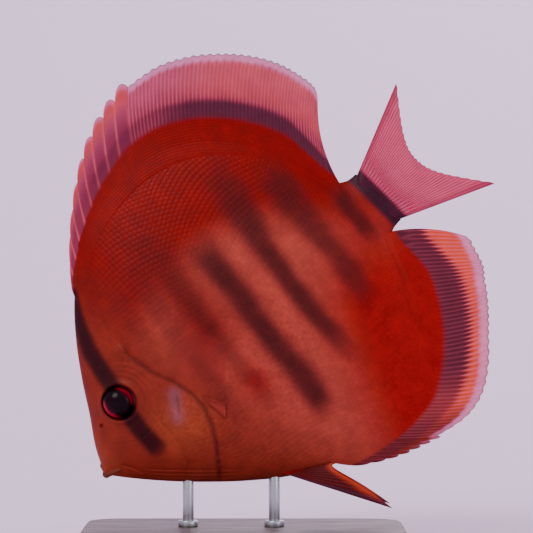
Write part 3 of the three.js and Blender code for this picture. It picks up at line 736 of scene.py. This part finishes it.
def edge_fin(fin, start, end, count, spiny):
    """Measuring rule and placing rule of a fin on the body's edge. With spiny None it is smooth."""
    station = edge_walk(fin["edge"], start, end)
    thick, slope, meet = fairing(fin)
    length, lean, curl = (through(fin["rays"], column) for column in (1, 2, 3))

    def measure(w, v):
        u, side = two_faces(w)
        x = station(u)
        phase = u * (count - 1)
        part = phase - np.floor(phase)
        if spiny is None:
            part = 0 * part
        lobe = 0.14 * np.sin(np.pi * part) ** 2 - 0.05
        if spiny:
            lobe = np.maximum(np.sin(np.pi * part**0.75), 0) ** 0.8
        long = length(x) * (1 + 0.13 * lobe)
        s = (v * (long + ROOT_SUNK) - ROOT_SUNK) / long
        ridge = spine_ridge(phase, s) if spiny else ray_ridge(phase, s)
        return u, side, x, long, s, ridge * (spiny is not None)

    def place(w, v):
        u, side, x, long, s, ridge = measure(w, v)
        bend = np.radians(curl(x))
        bend = np.where(np.abs(bend) < 1e-3, 1e-3, bend)
        first = np.radians(lean(x)) + bend
        run = (np.sin(first) - np.sin(first - 2 * bend * s)) / (2 * bend)
        rise = (np.cos(first - 2 * bend * s) - np.cos(first)) / (2 * bend)
        out = s * long
        px, pz = x + long * run, fin["edge"](x) + fin["up"] * long * rise
        depth = np.maximum(fin["up"] * (fin["edge"](px) - pz), 0) * (out < 0)
        sheath = np.clip(1 - out / fin["sheath"], 0, 1) ** 1.2 * (thick(px) - MEMBRANE)
        sunk = slope(px) * depth - ROOT_DIP * smooth(0.7 * meet(px), meet(px) + 2.5, depth)
        height = (SPINE_RIDGE if spiny else RAY_RIDGE) * (1 - 0.7 * np.clip(s, 0, 1))
        height = height * smooth(fin["sheath"] * 0.45, fin["sheath"] * 1.3, out)
        half = (MEMBRANE + sheath + sunk + ridge * height) * closed(v, 2 * u - 1, 90)
        sway = fin["sway"] * np.clip(s, 0, 1) ** 2 * np.sin(x / 11)
        return np.column_stack([px, sway + side * half, pz])

    return measure, place


# %% [markdown]
# ## Colours of the fins
# The scaled root of a fin keeps the body's red. On the soft dorsal and anal fins a dark band follows, then
# orange between pink rays, then a clear margin with a thin blue-grey line along it.

# %% Painting the fins
MAUVE = pigment(186, 52, 92)
PINK = srgb(158, 50, 84)
ROSE_RAY = srgb(210, 84, 100)
ORANGE = srgb(206, 64, 34)
BAND = pigment(96, 34, 62)
MAROON = pigment(92, 18, 24)
MARGIN = srgb(214, 110, 160)
LINE = srgb(120, 112, 140)


def layered(start, *layers):
    """Colour and cover mixed layer over layer: each is (colour, cover, share)."""
    tint = start
    for colour, cover, share in layers:
        tint = mix(tint, np.append(colour, cover), share)
    return tint


def solid(colour, cover, count):
    return np.tile(np.append(colour, cover), (count, 1))


def dorsal_red(x):
    """How far the body's red runs out over the dorsal fin."""
    return 1.2 + 7.8 * smooth(40, 94, x) - 5.5 * smooth(126, 133, x)


def anal_red(x):
    return 5.5 + 2.7 * smooth(75, 100, x) - 6.5 * smooth(127, 134, x)


def dorsal_tint(x, s, ridge, out, inside, red_to, spiny):
    """Colour by the share s and the distance out from the root, and the distance inside the rim."""
    band = 0.9 * (0.5 * smooth(52, 70, x) + 0.5 * smooth(90, 108, x))
    band = band * smooth(red_to - 2.6, red_to - 1.2, out) * smooth(red_to + 7.5, red_to + 5, out)
    tint = layered(
        solid(MAUVE, 0.9, len(x)),
        (PINK, 0.84, smooth(0.45, 0.8, s)),
        (ORANGE, 0.84, 0.5 * smooth(96, 118, x) * smooth(0.45, 0.6, s) * (1 - ridge)),
        (ROSE_RAY, 0.95, 0.65 * ridge * smooth(0, 0.15, s)),
        (BAND, 0.97, band),
    )
    if spiny:
        tip = 0.75 * smooth(0.9, 0.99, s) * (1 - ridge)
        return layered(tint, (ORANGE, 0.9, 0.55 * smooth(0.62, 0.9, s)), (MARGIN, 0.8, tip))
    margin, line = 0.75 * smooth(3.4, 1.6, inside), 0.6 * smooth(0.7, 0.2, inside)
    return layered(tint, (MARGIN, 0.6, margin), (LINE, 0.85, line))


def anal_tint(x, s, ridge, out, inside, red_to, _):
    band_to = red_to + 7.6 + 1.0 * smooth(100, 125, x) + 2.4 * (1 - ridge) * smooth(84, 108, x)
    band = (0.45 + 0.5 * smooth(84, 108, x)) * smooth(red_to - 2.6, red_to - 1.2, out)
    return layered(
        solid(ORANGE, 0.92, len(x)),
        (ROSE_RAY, 0.97, 0.85 * ridge * smooth(0, 0.2, s)),
        (MAROON, 0.97, 0.8 * smooth(100, 84, x)),
        (BAND, 0.98, band * smooth(band_to + 1.6, band_to - 1.6, out)),
        (ROSE_RAY, 0.98, 0.14 * ridge * smooth(0, 0.2, s)),
        (MARGIN, 0.62, 0.9 * smooth(4.6, 2.2, inside) * smooth(70, 90, x)),
        (ROSE_RAY, 0.85, 0.6 * ridge * smooth(4.0, 1.2, inside)),
        (LINE, 0.9, 0.75 * smooth(0.75, 0.25, inside)),
    )


DORSAL.update(red=dorsal_red, tint=dorsal_tint)
ANAL.update(red=anal_red, tint=anal_tint)


def edge_paint(fin, measure, spiny):
    """The body's own colour as far out as the red runs, and the fin's colours beyond."""

    def paint(w, v, points):
        x, long, s, ridge = measure(w, v)[2:]
        out = s * long
        red_to = fin["red"](x)
        tint = fin["tint"](x, s, ridge, out, long - out, red_to, spiny)
        root = np.column_stack([body_tint(points[:, 0], points[:, 2]), np.ones(len(x))])
        return tint + (root - tint) * smooth(red_to + 1.2, red_to - 1.2, out)[:, None]

    return paint


SPINE_COLUMNS, RAY_COLUMNS, FIN_ROWS = 44, 32, 46
for name, fin in (("dorsal", DORSAL), ("anal", ANAL)):
    for label, node, start, end, count, columns in (
        ("spines", "spiny", fin["start"], fin["split"] + FIN_LAP / 2, fin["spines"], SPINE_COLUMNS),
        ("rays", "soft", fin["split"] - FIN_LAP / 2, fin["end"], fin["soft"], RAY_COLUMNS),
    ):
        measure, place = edge_fin(fin, start, end, count, node == "spiny")
        paint = edge_paint(fin, measure, node == "spiny")
        bm = bmesh.new()
        add_shell(bm, columns * (count - 1), FIN_ROWS, place, paint)
        make_piece(f"{name}_{label}", bm, fin_material, "fin", f"{name}_fin_{node}")

# %% [markdown]
# ## Scales on the roots of the fins
# On a discus the scales run on from the back and the belly over the roots of the fins, ever smaller, so that
# body and fin are one red sheet there. The same scale is laid on both faces of each root.

# %% Scales over the fins' roots
ROOT_PITCH, ROOT_PROUD = 1.15, 0.045
ROOT_ROWS, ROOT_START, ROOT_ROW_STEP = 15, -6.0, 0.95
ROOT_CURVE = 1.35  # length of a fin's root over its straight reach


def root_coat(fin, side, offset):
    """Scales on one face of a fin's root, out to where the rays begin."""
    _, place = edge_fin(fin, fin["start"], fin["end"], 2 * fin["soft"], None)
    station = edge_walk(fin["edge"], fin["start"], fin["end"])
    length = through(fin["rays"], 1)
    ends = fin["edge"](np.array([fin["start"], fin["end"]]))
    reach = float(np.hypot(fin["end"] - fin["start"], ends[1] - ends[0]))
    count = ROOT_CURVE * reach / ROOT_PITCH
    rows = []
    for row in range(ROOT_ROWS):
        out = ROOT_START + ROOT_ROW_STEP * ROOT_PITCH * row
        u = np.arange(0.3 + 0.5 * (row % 2), count, 1.0) / count
        rows.append(np.column_stack([u, np.full(len(u), out)]))
    u, out = np.concatenate(rows).T
    x = station(u)
    keep = (out < 0.85 * fin["red"](x)) & (u > 0.03) & (u < 0.985)
    u, out = u[keep], out[keep]

    def at(u, out):
        long = length(station(u))
        w = u / 2 if side < 0 else 1 - u / 2
        return place(w, (out + ROOT_SUNK) / (long + ROOT_SUNK))

    root = at(u, out)
    outwards = at(u, out + 0.3) - at(u, out - 0.3)
    along = at(np.clip(u + 0.003, 0, 1), out) - at(u - 0.003, out)
    size = ROOT_PITCH * (1 - 0.3 * np.clip(out / 9, 0, 1))
    even = np.linalg.norm(along, axis=1) / np.linalg.norm(outwards, axis=1)
    tailward = along + 0.6 * outwards * even[:, None]
    patch = np.column_stack([0.02 + 0.96 * u, offset + 0.02 * (out + 7) / 18])
    return lay_scales(root, tailward, outwards * fin["up"], size, side, patch, ROOT_PROUD)


for side, name in SIDES:
    coat_piece(f"dorsal_root_scales_{name}", *root_coat(DORSAL, side, 0.93))
    coat_piece(f"anal_root_scales_{name}", *root_coat(ANAL, side, 0.03))

# %% [markdown]
# ## The tail
# The tail fin fans out from the black bar at its root. Its rays fork too, its outer rays are the longest and
# the rim is hollow between them. Light passes through it almost everywhere.

# %% Tail fin
TAIL = dict(rays=22, up=22, down=24.5, middle=18.4, lobe=17, hollow=2.2, root_half=2.7, sway=2.4)
TAIL_SUNK, TAIL_ROWS, TAIL_END = 3.5, 44, np.array(float(STANDARD_LENGTH))
TAIL_PINK = srgb(206, 46, 88)
TAIL_RAY = srgb(150, 26, 62)


def tail_measure(w, v):
    u, side = two_faces(w)
    fan = 1 - 2 * u
    phase = u * (TAIL["rays"] - 1)
    long = TAIL["middle"] + TAIL["lobe"] * np.abs(fan) ** TAIL["hollow"]
    long = long * (1 + 0.015 * np.sin(np.pi * (phase - np.floor(phase))) ** 2)
    out = v * (long + TAIL_SUNK) - TAIL_SUNK
    return u, side, fan, long, out, ray_ridge(phase, out / long)


def tail_place(w, v):
    u, side, fan, long, out, ridge = tail_measure(w, v)
    lean = np.radians(np.where(fan > 0, fan * TAIL["up"], fan * TAIL["down"]))
    top, bottom = back(TAIL_END), belly(TAIL_END)
    root = bottom + (top - bottom) * (1 - u) * 0.985
    s = np.clip(out / long, 0, 1)
    sheath = (1 - s) ** 6 * (TAIL["root_half"] * np.sqrt(1 - np.abs(fan) ** 4) - MEMBRANE)
    raised = RAY_RIDGE * ridge * smooth(0, 0.2, s) * (1 - 0.6 * s)
    half = (MEMBRANE + np.maximum(sheath, 0) + raised) * closed(v, fan, 60)
    sway = TAIL["sway"] * s**2 * (0.7 * fan - 0.4)
    return np.column_stack([
        STANDARD_LENGTH + FIN_GAP + out * np.cos(lean),
        sway + side * half,
        root + out * np.sin(lean),
    ])


def tail_paint(w, v, points):
    u, _, fan, _, out, ridge = tail_measure(w, v)
    return layered(
        solid(TAIL_PINK, 0.7, len(u)),
        (MAUVE, 0.85, 0.35 * smooth(10, 2, out)),
        (TAIL_RAY, 0.96, 0.85 * ridge),
        (MAUVE, 0.9, 0.5 * smooth(0.86, 0.97, np.abs(fan))),
        (TAIL_BAR, 1.0, 0.95 * smooth(2.6, 1.0, out)),
    )


tail_bm = bmesh.new()
add_shell(tail_bm, RAY_COLUMNS * (TAIL["rays"] - 1), TAIL_ROWS, tail_place, tail_paint)
make_piece("tail_rays", tail_bm, fin_material, "fin", "tail_fin_upper", "tail_fin_lower")

# %% [markdown]
# ## The paired fins
# The pectoral fins behind the gill covers are clear fans that hardly hide the flank. The pelvic fins under
# the breast are stiffer and darker, with one long ray in front.

# %% Pectoral and pelvic fins
PECTORAL = dict(
    rays=12, x=(46.6, 44.6), z=(-15, -8.6), lean=(45, 92), length=29.6, longest=0.3, short=(0.86, 0.74),
    flare=19,
)
PELVIC = dict(rays=6, x=(45, 50), y=2.2, rise=2, length=(13, 42), lean=(-62, -32), splay=11)
PAIRED_SUNK, PAIRED_ROOT, PAIRED_MEMBRANE, PAIRED_RIDGE = 3.0, 1.1, MEMBRANE * 0.8, 0.2
PAIRED_COLUMNS, PAIRED_ROWS = 20, 36
VEIL = srgb(128, 32, 32)
VEIL_RAY = srgb(158, 56, 54)


def paired_fin(count, rule, lean_out):
    """rule(u) gives each ray's root, direction and length."""

    def measure(w, v):
        u, face = two_faces(w)
        root, direction, long = rule(u)
        out = v * (long + PAIRED_SUNK) - PAIRED_SUNK
        return u, face, root, direction, long, out, ray_ridge(u * (count - 1), out / long)

    def place(w, v):
        u, face, root, direction, long, out, ridge = measure(w, v)
        s = np.clip(out / long, 0, 1)
        sheath = np.clip(1 - 2.6 * s, 0, 1) ** 1.5 * (PAIRED_ROOT - MEMBRANE)
        raised = PAIRED_RIDGE * ridge * (1 - 0.6 * s)
        half = (PAIRED_MEMBRANE + sheath + raised) * closed(v, 2 * u - 1, 60)
        return root + direction * out[:, None] + np.array(lean_out)[None] * (face * half)[:, None]

    return measure, place


def between(ends, share):
    return ends[0] + (ends[1] - ends[0]) * share


def ray_way(lean, flare, side):
    """Directions of rays that lean in side view and flare away from the flank."""
    level = math.cos(flare)
    away = np.full(len(lean), side * math.sin(flare))
    return np.column_stack([np.cos(lean) * level, away, np.sin(lean) * level])


def pectoral_rule(side):
    flare = math.radians(PECTORAL["flare"])

    def rule(u):
        x, z = between(PECTORAL["x"], u), between(PECTORAL["z"], u)
        root = np.column_stack([x, side * flank(x, z), z])
        run = ray_way(np.radians(between(PECTORAL["lean"], u)), flare, side)
        longest = PECTORAL["longest"]
        short = np.where(u < longest, *PECTORAL["short"])
        far = np.abs((u - longest) / np.where(u < longest, longest, 1 - longest))
        return root, run, PECTORAL["length"] * (1 - (1 - short) * far**2)

    lean_out = Vector((-math.sin(flare) * 0.38, side * math.cos(flare), -math.sin(flare) * 0.92)).normalized()
    return rule, lean_out


def pelvic_rule(side):
    splay = math.radians(PELVIC["splay"])

    def rule(u):
        x = between(PELVIC["x"], u)
        root = np.column_stack([x, np.full(len(u), side * PELVIC["y"]), belly(x) + PELVIC["rise"]])
        run = ray_way(np.radians(between(PELVIC["lean"], u)), splay, side)
        return root, run, between(PELVIC["length"], (1 - u) ** 2.4)

    return rule, Vector((0.1, side, 0.2)).normalized()


def veil_paint(measured):
    u, *_, out, ridge = measured
    return layered(
        solid(VEIL, 0.1, len(u)),
        (VEIL, 0.03, smooth(0.45, 0.9, u)),
        (VEIL_RAY, 0.22, 0.6 * ridge * smooth(1.0, 0.5, u)),
        (BRICK, 0.95, smooth(5, 0.5, out)),
    )


def pelvic_paint(measured):
    u, *_, long, out, ridge = measured
    return layered(
        solid(MAROON, 0.95, len(u)),
        (DEEP_RED, 0.97, 0.6 * ridge),
        (ORANGE, 0.9, 0.6 * smooth(0.75, 1.0, out / long)),
        (BAND, 0.98, 0.85 * smooth(0.14, 0.03, u)),
        (DEEP_RED, 1.0, smooth(4, 0.5, out)),
    )


for side, name in SIDES:
    for label, count, rule, painter in (
        ("pectoral", PECTORAL["rays"], pectoral_rule(side), veil_paint),
        ("pelvic", PELVIC["rays"], pelvic_rule(side), pelvic_paint),
    ):
        measure, place = paired_fin(count, *rule)
        bm = bmesh.new()
        paint = lambda w, v, points: painter(measure(w, v))
        add_shell(bm, PAIRED_COLUMNS * (count - 1), PAIRED_ROWS, place, paint)
        make_piece(f"{label}_rays_{name}", bm, fin_material, "fin", f"{label}_fin_{name}")

# %% [markdown]
# ## The eyes
# A discus has a large black pupil in a dark red iris, which is broken by the eye bar, with a crimson ring
# round the pupil and a lilac rim. The eye has no lids. Its colours are rings round the pupil, so the shader
# measures the distance from it. A clear coat gives the wet highlight.

# %% Eye material
PUPIL = (-0.35, 0.35)
RING_REACH, RING_WANDER = 8, 0.5
BAND_OUTSIDE, BAND_INSIDE = 4.4, 2.4
EYE_RINGS = [
    (0.0, (2, 1, 3)), (0.38, (3, 2, 4)), (0.41, (70, 8, 20)), (0.44, (40, 2, 14)), (0.54, (66, 2, 20)),
    (0.66, (150, 6, 34)), (0.74, (60, 6, 22)), (0.79, (186, 92, 128)),
]
eye_material, nodes, shader = new_material("discus_eye")


def calculate(kind, operation, source, constant=None):
    """Adds a node that works on a source, and on a constant where it takes one."""
    node = add(nodes, kind)
    node.operation = operation
    node.id_data.links.new(source, node.inputs[0])
    if constant is not None:
        node.inputs[1].default_value = constant
    return node


place = add(nodes, "TexCoord").outputs["Object"]
centre = Vector((EYE_X + PUPIL[0], 0, EYE_Z + PUPIL[1]))
to_fish = add(
    nodes, "Mapping", Vector=place, Scale=(1 / MM,) * 3, Rotation=(0, PITCH, 0),
    Location=-(tilt.transposed() @ origin) - centre,
).outputs["Vector"]
flat = calculate("VectorMath", "MULTIPLY", to_fish, (1, 0, 1)).outputs["Vector"]
radius = calculate("VectorMath", "LENGTH", flat).outputs["Value"]
ragged = calculate("Math", "MULTIPLY_ADD", noise(nodes, place, 900, 3.0), RING_WANDER)
ragged.id_data.links.new(radius, ragged.inputs[2])
share = calculate("Math", "DIVIDE", ragged.outputs["Value"], RING_REACH).outputs["Value"]
rings = add(nodes, "ValToRGB", Fac=share)
ramp = rings.color_ramp
for spot, colour in EYE_RINGS[1:-1]:
    ramp.elements.new(spot)
for element, (spot, colour) in zip(ramp.elements, EYE_RINGS):
    element.position = spot
    element.color = (*srgb(*colour), 1)
across = add(nodes, "SeparateXYZ", Vector=to_fish).outputs["X"]
across = calculate("Math", "ABSOLUTE", across).outputs["Value"]
band = add(nodes, "MapRange", Value=across, From_Min=BAND_OUTSIDE, From_Max=BAND_INSIDE)
band.interpolation_type = "SMOOTHSTEP"
crossed = add(nodes, "Mix")
crossed.data_type = "RGBA"
feed(crossed, Factor=band.outputs["Result"], A=rings.outputs["Color"], B=(*srgb(18, 2, 8), 1))
feed(
    shader, Base_Color=crossed.outputs["Result"], Roughness=0.25, Specular_IOR_Level=0.04,
    Coat_Weight=0.07, Coat_Roughness=0.02,
)
print("eye rings:", len(EYE_RINGS))

# %% Eyeballs
EYE_DEPTH, EYE_SUNK = 4.6, 2.9
for side, name in SIDES:
    bm = bmesh.new()
    bmesh.ops.create_uvsphere(bm, u_segments=64, v_segments=40, radius=1.0)
    bmesh.ops.rotate(bm, verts=bm.verts, cent=(0, 0, 0), matrix=Matrix.Rotation(math.pi / 2, 3, "X"))
    bmesh.ops.scale(bm, vec=(EYE_RADIUS - EYE_GAP, EYE_DEPTH, EYE_RADIUS - EYE_GAP), verts=bm.verts)
    seat = Vector((EYE_X, side * (float(flank(np.array(EYE_X), np.array(EYE_Z))) - EYE_SUNK), EYE_Z))
    bmesh.ops.translate(bm, vec=seat, verts=bm.verts)
    placed = to_world(np.array([v.co[:] for v in bm.verts]))
    for vert, co in zip(bm.verts, placed):
        vert.co = co
    make_piece(f"eyeball_{name}", bm, eye_material, "eye", f"eye_{name}")

# %% [markdown]
# ## The stand
# The base is a dark stained board, so its solid stays and gets a wood grain. The rods are turned steel: each
# is a smooth bar with a small collar at its foot, spun by bmesh from a cone of many sides.

# %% Stand finishes and rods
wood, nodes, shader = new_material("stained_wood")
place = add(nodes, "TexCoord").outputs["Object"]
stretch = add(nodes, "Mapping", Vector=place, Scale=(6, 60, 60)).outputs["Vector"]
grain = add(nodes, "TexNoise", Vector=stretch, Scale=9, Detail=8, Distortion=0.6).outputs["Fac"]
tone = add(nodes, "ValToRGB", Fac=grain)
for element, spot, colour in zip(tone.color_ramp.elements, (0.3, 0.72), ((38, 24, 18), (86, 58, 42))):
    element.position = spot
    element.color = (*srgb(*colour), 1)
pores = add(nodes, "Bump", Height=grain, Strength=0.25, Distance=0.0002)
feed(
    shader, Base_Color=tone.outputs["Color"], Roughness=spread(nodes, grain, 0.55, 0.38),
    Normal=pores.outputs["Normal"],
)
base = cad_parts["stand_base"]
base.data.materials.clear()
base.data.materials.append(wood)

steel, nodes, shader = new_material("turned_steel")
place = add(nodes, "TexCoord").outputs["Object"]
turning = add(nodes, "Mapping", Vector=place, Scale=(100, 100, 4000)).outputs["Vector"]
marks = add(nodes, "TexNoise", Vector=turning, Scale=1).outputs["Fac"]
rough = spread(nodes, marks, 0.24, 0.4)
feed(shader, Base_Color=(*srgb(176, 178, 182), 1), Metallic=1.0, Roughness=rough)

ROD_RADIUS, COLLAR_RADIUS, COLLAR_HEIGHT, ROD_BITE = 0.002, 0.0036, 0.0022, 0.0006
ROD_SIDES, ROD_BEVEL = 48, 0.0003
for name in ("stand_rod_front", "stand_rod_rear"):
    low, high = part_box(name)
    x, top, foot = (low[0] + high[0]) / 2, high[2] + ROD_BITE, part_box("stand_base")[1][2]
    bm = bmesh.new()
    for radius, bottom, upper in ((ROD_RADIUS, foot, top), (COLLAR_RADIUS, foot, foot + COLLAR_HEIGHT)):
        centre = Matrix.Translation((x, 0, (bottom + upper) / 2))
        bar = bmesh.ops.create_cone(
            bm, cap_ends=True, segments=ROD_SIDES, radius1=radius, radius2=radius, depth=upper - bottom,
            matrix=centre,
        )["verts"]
        edges = {edge for vert in bar for edge in vert.link_edges}
        rims = [edge for edge in edges if len(edge.link_faces) == 2 and edge.calc_face_angle(0) > 1]
        bmesh.ops.bevel(bm, geom=rims, offset=ROD_BEVEL, segments=3, profile=0.5, affect="EDGES", material=-1)
    make_piece(name.replace("stand_rod", "stand_bar"), bm, steel, "stand_steel", name)

# %% [markdown]
# ## Room, light and camera
# The room is a plain pale sweep, a floor that curves up behind, under soft light: a large lamp from the upper
# left, a weaker one from the right, and one behind that shines through the fins. The camera looks at the left
# flank from far away through a long lens, so that the side view is as flat as in the photo.

# %% Floor
BEND_FROM, BEND, FLOOR_REACH = 0.9, 0.22, 8
floor_bm = bmesh.new()
bmesh.ops.create_grid(floor_bm, x_segments=2, y_segments=120, size=FLOOR_REACH)
for vert in floor_bm.verts:
    vert.co.z = BEND * max(vert.co.y - BEND_FROM, 0) ** 2
for face in floor_bm.faces:
    face.smooth = True
floor_mesh = bpy.data.meshes.new("floor")
floor_bm.to_mesh(floor_mesh)
floor_bm.free()
floor = new_object("floor", floor_mesh)
pale, _, shader = new_material("pale_floor")
feed(shader, Base_Color=(*srgb(238, 214, 240), 1), Roughness=0.8)
floor_mesh.materials.append(pale)

# %% Lights
world = bpy.data.worlds.new("studio")
world.use_nodes = True
feed(world.node_tree.nodes["Background"], Color=(*srgb(232, 222, 240), 1), Strength=1.0)
bpy.context.scene.world = world


AIM = (0.01, 0, 0.1)


def soft_light(name, place, size, power, colour=(1, 1, 1)):
    lamp = bpy.data.lights.new(name, "AREA")
    lamp.shape = "DISK"
    lamp.size = size
    lamp.energy = power
    lamp.color = colour
    light = new_object(name, lamp)
    light.location = place
    light.rotation_euler = (Vector(AIM) - Vector(place)).to_track_quat("-Z", "Y").to_euler()


soft_light("key", (-1.6, -2.4, 2.4), size=1.8, power=90)
soft_light("fill", (2.6, -2.0, 1.0), size=2.0, power=22)
soft_light("back", (0.8, 2.6, 2.0), size=2.2, power=45, colour=(1.0, 0.94, 1.0))
print("lights: 3")

# %% Camera
FRAME_PIXELS = 533
MM_PER_PIXEL = 0.36
SNOUT_PIXEL = (104.9, 472.1)
DISTANCE = 1.0
SENSOR = 36

centre_x = origin.x + (FRAME_PIXELS / 2 - SNOUT_PIXEL[0]) * MM_PER_PIXEL
centre_z = origin.z + (SNOUT_PIXEL[1] - FRAME_PIXELS / 2) * MM_PER_PIXEL
lens = bpy.data.cameras.new("side_view")
lens.sensor_width = SENSOR
lens.lens = SENSOR * DISTANCE / (FRAME_PIXELS * MM_PER_PIXEL * MM)
lens.clip_start, lens.clip_end = 0.05, 50
camera = new_object("side_view", lens)
camera.location = (centre_x * MM, -DISTANCE, centre_z * MM)
camera.rotation_euler = (math.pi / 2, 0, 0)
bpy.context.scene.camera = camera
print("camera:", [round(c, 4) for c in camera.location], "lens", round(lens.lens, 1))
